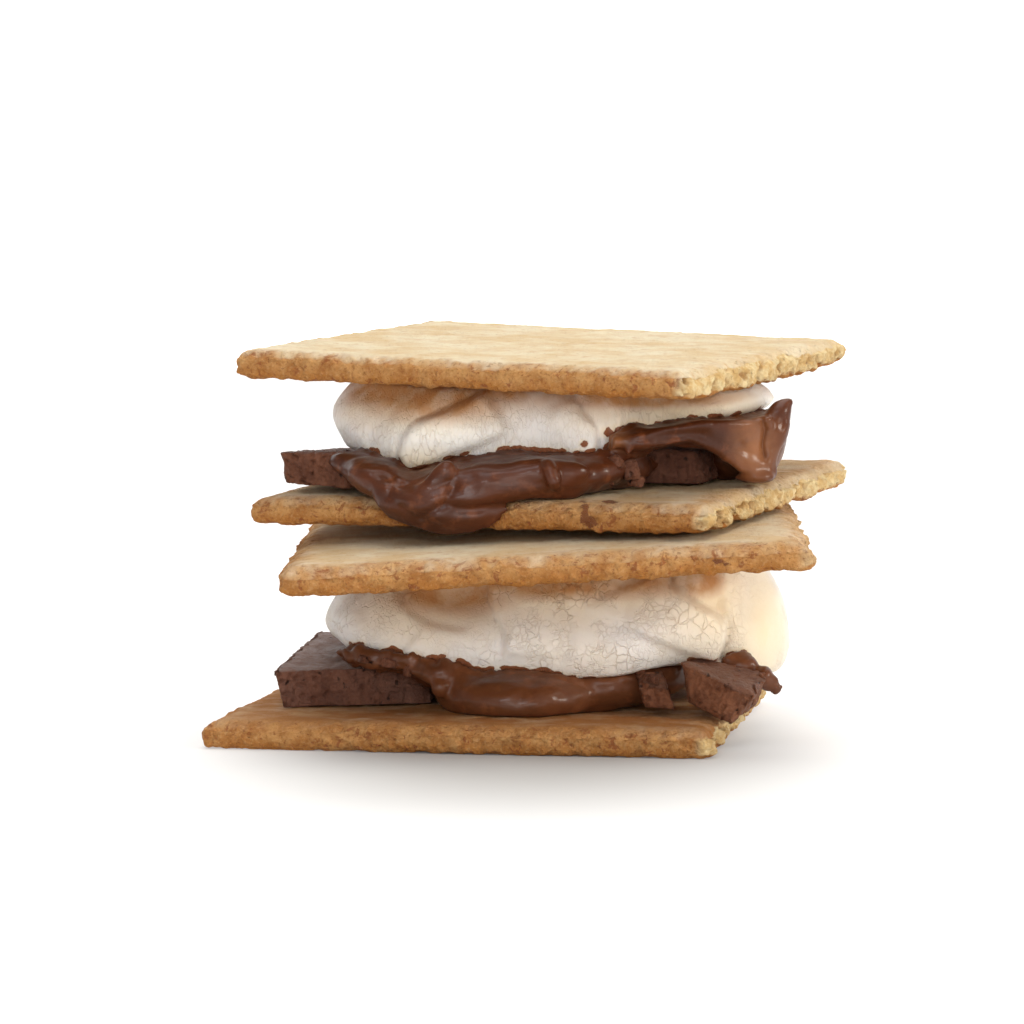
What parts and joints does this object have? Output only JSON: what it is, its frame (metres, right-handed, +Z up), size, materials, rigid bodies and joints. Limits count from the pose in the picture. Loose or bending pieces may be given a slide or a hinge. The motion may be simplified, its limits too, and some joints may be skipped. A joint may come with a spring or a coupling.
{
  "type": "stacked smores",
  "caption": "Stacked s'mores: melted marshmallow and broken, half-melted chocolate between square baked crackers, askew, with a snapped crumbly side on some of the crackers.",
  "frame": {"origin": "centre of the stack's base: the middle of its extents in X and Y, level with the underside of the bottom cracker", "axes": "+Z up, +X to the right as seen from the front, +Y from the front to the back"},
  "size_m": [0.0884, 0.0908, 0.0545],
  "materials": {
    "cracker": "dry baked cracker, golden with fine brown specks",
    "marshmallow": "soft off-white marshmallow skin, finely cracked",
    "chocolate_melted": "glossy melted milk chocolate",
    "chocolate_solid": "broken milk chocolate, dull with a slight bloom"
  },
  "bodies": {
    "root": {"cracker_bottom": "cracker", "cracker_second": "cracker", "cracker_third": "cracker", "cracker_top": "cracker", "marshmallow_lower": "marshmallow", "marshmallow_upper": "marshmallow", "chocolate_melted_lower": "chocolate_melted", "chocolate_melted_upper": "chocolate_melted", "chocolate_slab_lower": "chocolate_solid", "chocolate_chunk_lower": "chocolate_solid", "chocolate_chip_lower": "chocolate_solid", "chocolate_slab_upper": "chocolate_solid", "chocolate_chunk_upper": "chocolate_solid"}
  },
  "joints": []
}
